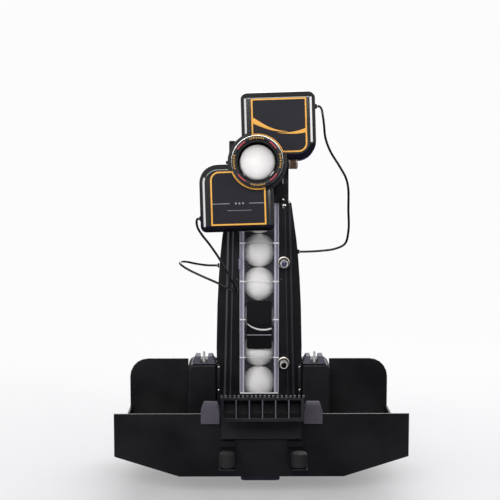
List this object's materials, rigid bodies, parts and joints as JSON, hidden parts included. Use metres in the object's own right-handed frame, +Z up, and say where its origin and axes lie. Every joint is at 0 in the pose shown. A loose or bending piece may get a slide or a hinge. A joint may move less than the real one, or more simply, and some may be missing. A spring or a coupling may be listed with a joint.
{
  "type": "table tennis robot",
  "caption": "Table tennis practice robot: a hook-on hopper with a feed disc, a clear ball column, and a tilting, rolling head with throwing wheels above and below the ball.",
  "frame": {"origin": "middle of the flat underside of the front hook, on the plane of the playing top", "axes": "+X to the player's right, +Y away from the player along the table's length, +Z up"},
  "size_m": [0.314, 0.3346, 0.4375],
  "materials": {
    "satin_black": "moulded satin black plastic",
    "gloss_black": "polished black plastic",
    "dark_plate": "dark grey printed film, plain border lines",
    "grey_plastic": "moulded dark grey plastic",
    "black_rubber": "soft black rubber",
    "wheel_rubber": "dark red rubber",
    "steel": "turned steel",
    "motor_steel": "plated motor can",
    "brass": "bronze-coloured knob",
    "white_ball": "white celluloid-like plastic",
    "clear_cover": "clear moulded plastic",
    "cord": "black flexible sheath"
  },
  "bodies": {
    "frame": {"edge_hook": "satin_black", "hopper": "satin_black", "column_shell": "satin_black", "channel_cover": "clear_cover", "cover_label": "dark_plate", "feed_motor": "motor_steel", "control_box": "satin_black", "power_inlet": "gloss_black", "yaw_motor": "satin_black", "upper_cord": "cord", "lower_cord": "cord", "edge_pad_left": "grey_plastic", "support_arm_left": "satin_black", "arm_tip_left": "black_rubber", "hub_left": "satin_black", "pole_socket_left": "grey_plastic", "socket_pin_left": "steel", "rail_left": "satin_black", "column_gland_left": "satin_black", "edge_pad_right": "grey_plastic", "support_arm_right": "satin_black", "arm_tip_right": "black_rubber", "hub_right": "satin_black", "pole_socket_right": "grey_plastic", "socket_pin_right": "steel", "rail_right": "satin_black", "column_gland_right": "satin_black", "column_ball_1": "white_ball", "column_ball_2": "white_ball", "column_ball_3": "white_ball", "column_ball_4": "white_ball", "column_ball_5": "white_ball", "column_ball_6": "white_ball", "column_ball_7": "white_ball"},
    "feed_wheel": {"feed_disc": "grey_plastic"},
    "yaw_gear": {"yaw_pinion": "steel"},
    "rocker": {"power_switch": "gloss_black"},
    "upper_thumbscrew": {"cover_knob_upper": "steel"},
    "lower_thumbscrew": {"cover_knob_lower": "steel"},
    "turntable": {"yaw_platform": "satin_black", "fork_arm_left": "satin_black", "fork_arm_right": "satin_black", "pivot_bolt": "steel"},
    "elevation_knob": {"lock_knob": "brass"},
    "elbow_body": {"elbow": "satin_black"},
    "head": {"throat_tube": "satin_black", "mouth_ring": "satin_black", "mouth_ball": "white_ball", "upper_housing": "gloss_black", "upper_back": "satin_black", "upper_plate": "dark_plate", "upper_motor": "motor_steel", "upper_gland": "satin_black", "lower_housing": "gloss_black", "lower_back": "satin_black", "lower_plate": "dark_plate", "lower_motor": "motor_steel", "lower_gland": "satin_black"},
    "top_wheel": {"upper_wheel": "wheel_rubber"},
    "bottom_wheel": {"lower_wheel": "wheel_rubber"}
  },
  "joints": [
    {"name": "head_yaw", "type": "hinge", "parent": "frame", "child": "turntable", "pos_m": [0, 0.207, 0.21], "axis": [0, 0, 1], "range_deg": [-16, 20], "deforming": ["upper_cord", "lower_cord"]},
    {"name": "head_pitch", "type": "hinge", "parent": "turntable", "child": "elbow_body", "pos_m": [0, 0.207, 0.254], "axis": [-0.9994, 0.0349, 0], "range_deg": [-10, 21], "deforming": ["upper_cord", "lower_cord"]},
    {"name": "head_roll", "type": "hinge", "parent": "elbow_body", "child": "head", "pos_m": [0, 0.207, 0.254], "axis": [0.0348, 0.997, -0.0698], "range_deg": [-90, 90], "deforming": ["upper_cord", "lower_cord"]},
    {"name": "upper_wheel_spin", "type": "hinge", "parent": "head", "child": "top_wheel", "pos_m": [-0.00351, 0.142, 0.29813], "axis": [0.999, -0.0327, 0.0313], "continuous": true},
    {"name": "lower_wheel_spin", "type": "hinge", "parent": "head", "child": "bottom_wheel", "pos_m": [-0.00122, 0.13641, 0.21936], "axis": [0.999, -0.0327, 0.0313], "continuous": true},
    {"name": "feed_spin", "type": "hinge", "parent": "frame", "child": "feed_wheel", "pos_m": [0, 0.12, -0.066], "axis": [0, 0, 1], "continuous": true},
    {"name": "yaw_gear_spin", "type": "hinge", "parent": "frame", "child": "yaw_gear", "pos_m": [0, 0.252, 0.212], "axis": [0, 0, 1], "range_deg": [-100, 80]},
    {"name": "elevation_lock_turn", "type": "hinge", "parent": "turntable", "child": "elevation_knob", "pos_m": [0, 0.207, 0.254], "axis": [0.9994, -0.0349, 0], "range_deg": [-180, 180]},
    {"name": "upper_thumbscrew_turn", "type": "hinge", "parent": "frame", "child": "upper_thumbscrew", "pos_m": [0.0289, 0.184, 0.1397], "axis": [0, 1, 0], "range_deg": [-360, 0]},
    {"name": "lower_thumbscrew_turn", "type": "hinge", "parent": "frame", "child": "lower_thumbscrew", "pos_m": [0.0289, 0.184, 0.0195], "axis": [0, 1, 0], "range_deg": [-360, 0]},
    {"name": "power_rocker", "type": "hinge", "parent": "frame", "child": "rocker", "pos_m": [-0.014, 0.2623, 0.058], "axis": [1, 0, 0], "range_deg": [0, 16]}
  ],
  "couplings": [
    {"joint": "yaw_gear_spin", "follows": "head_yaw", "ratio": -5}
  ]
}
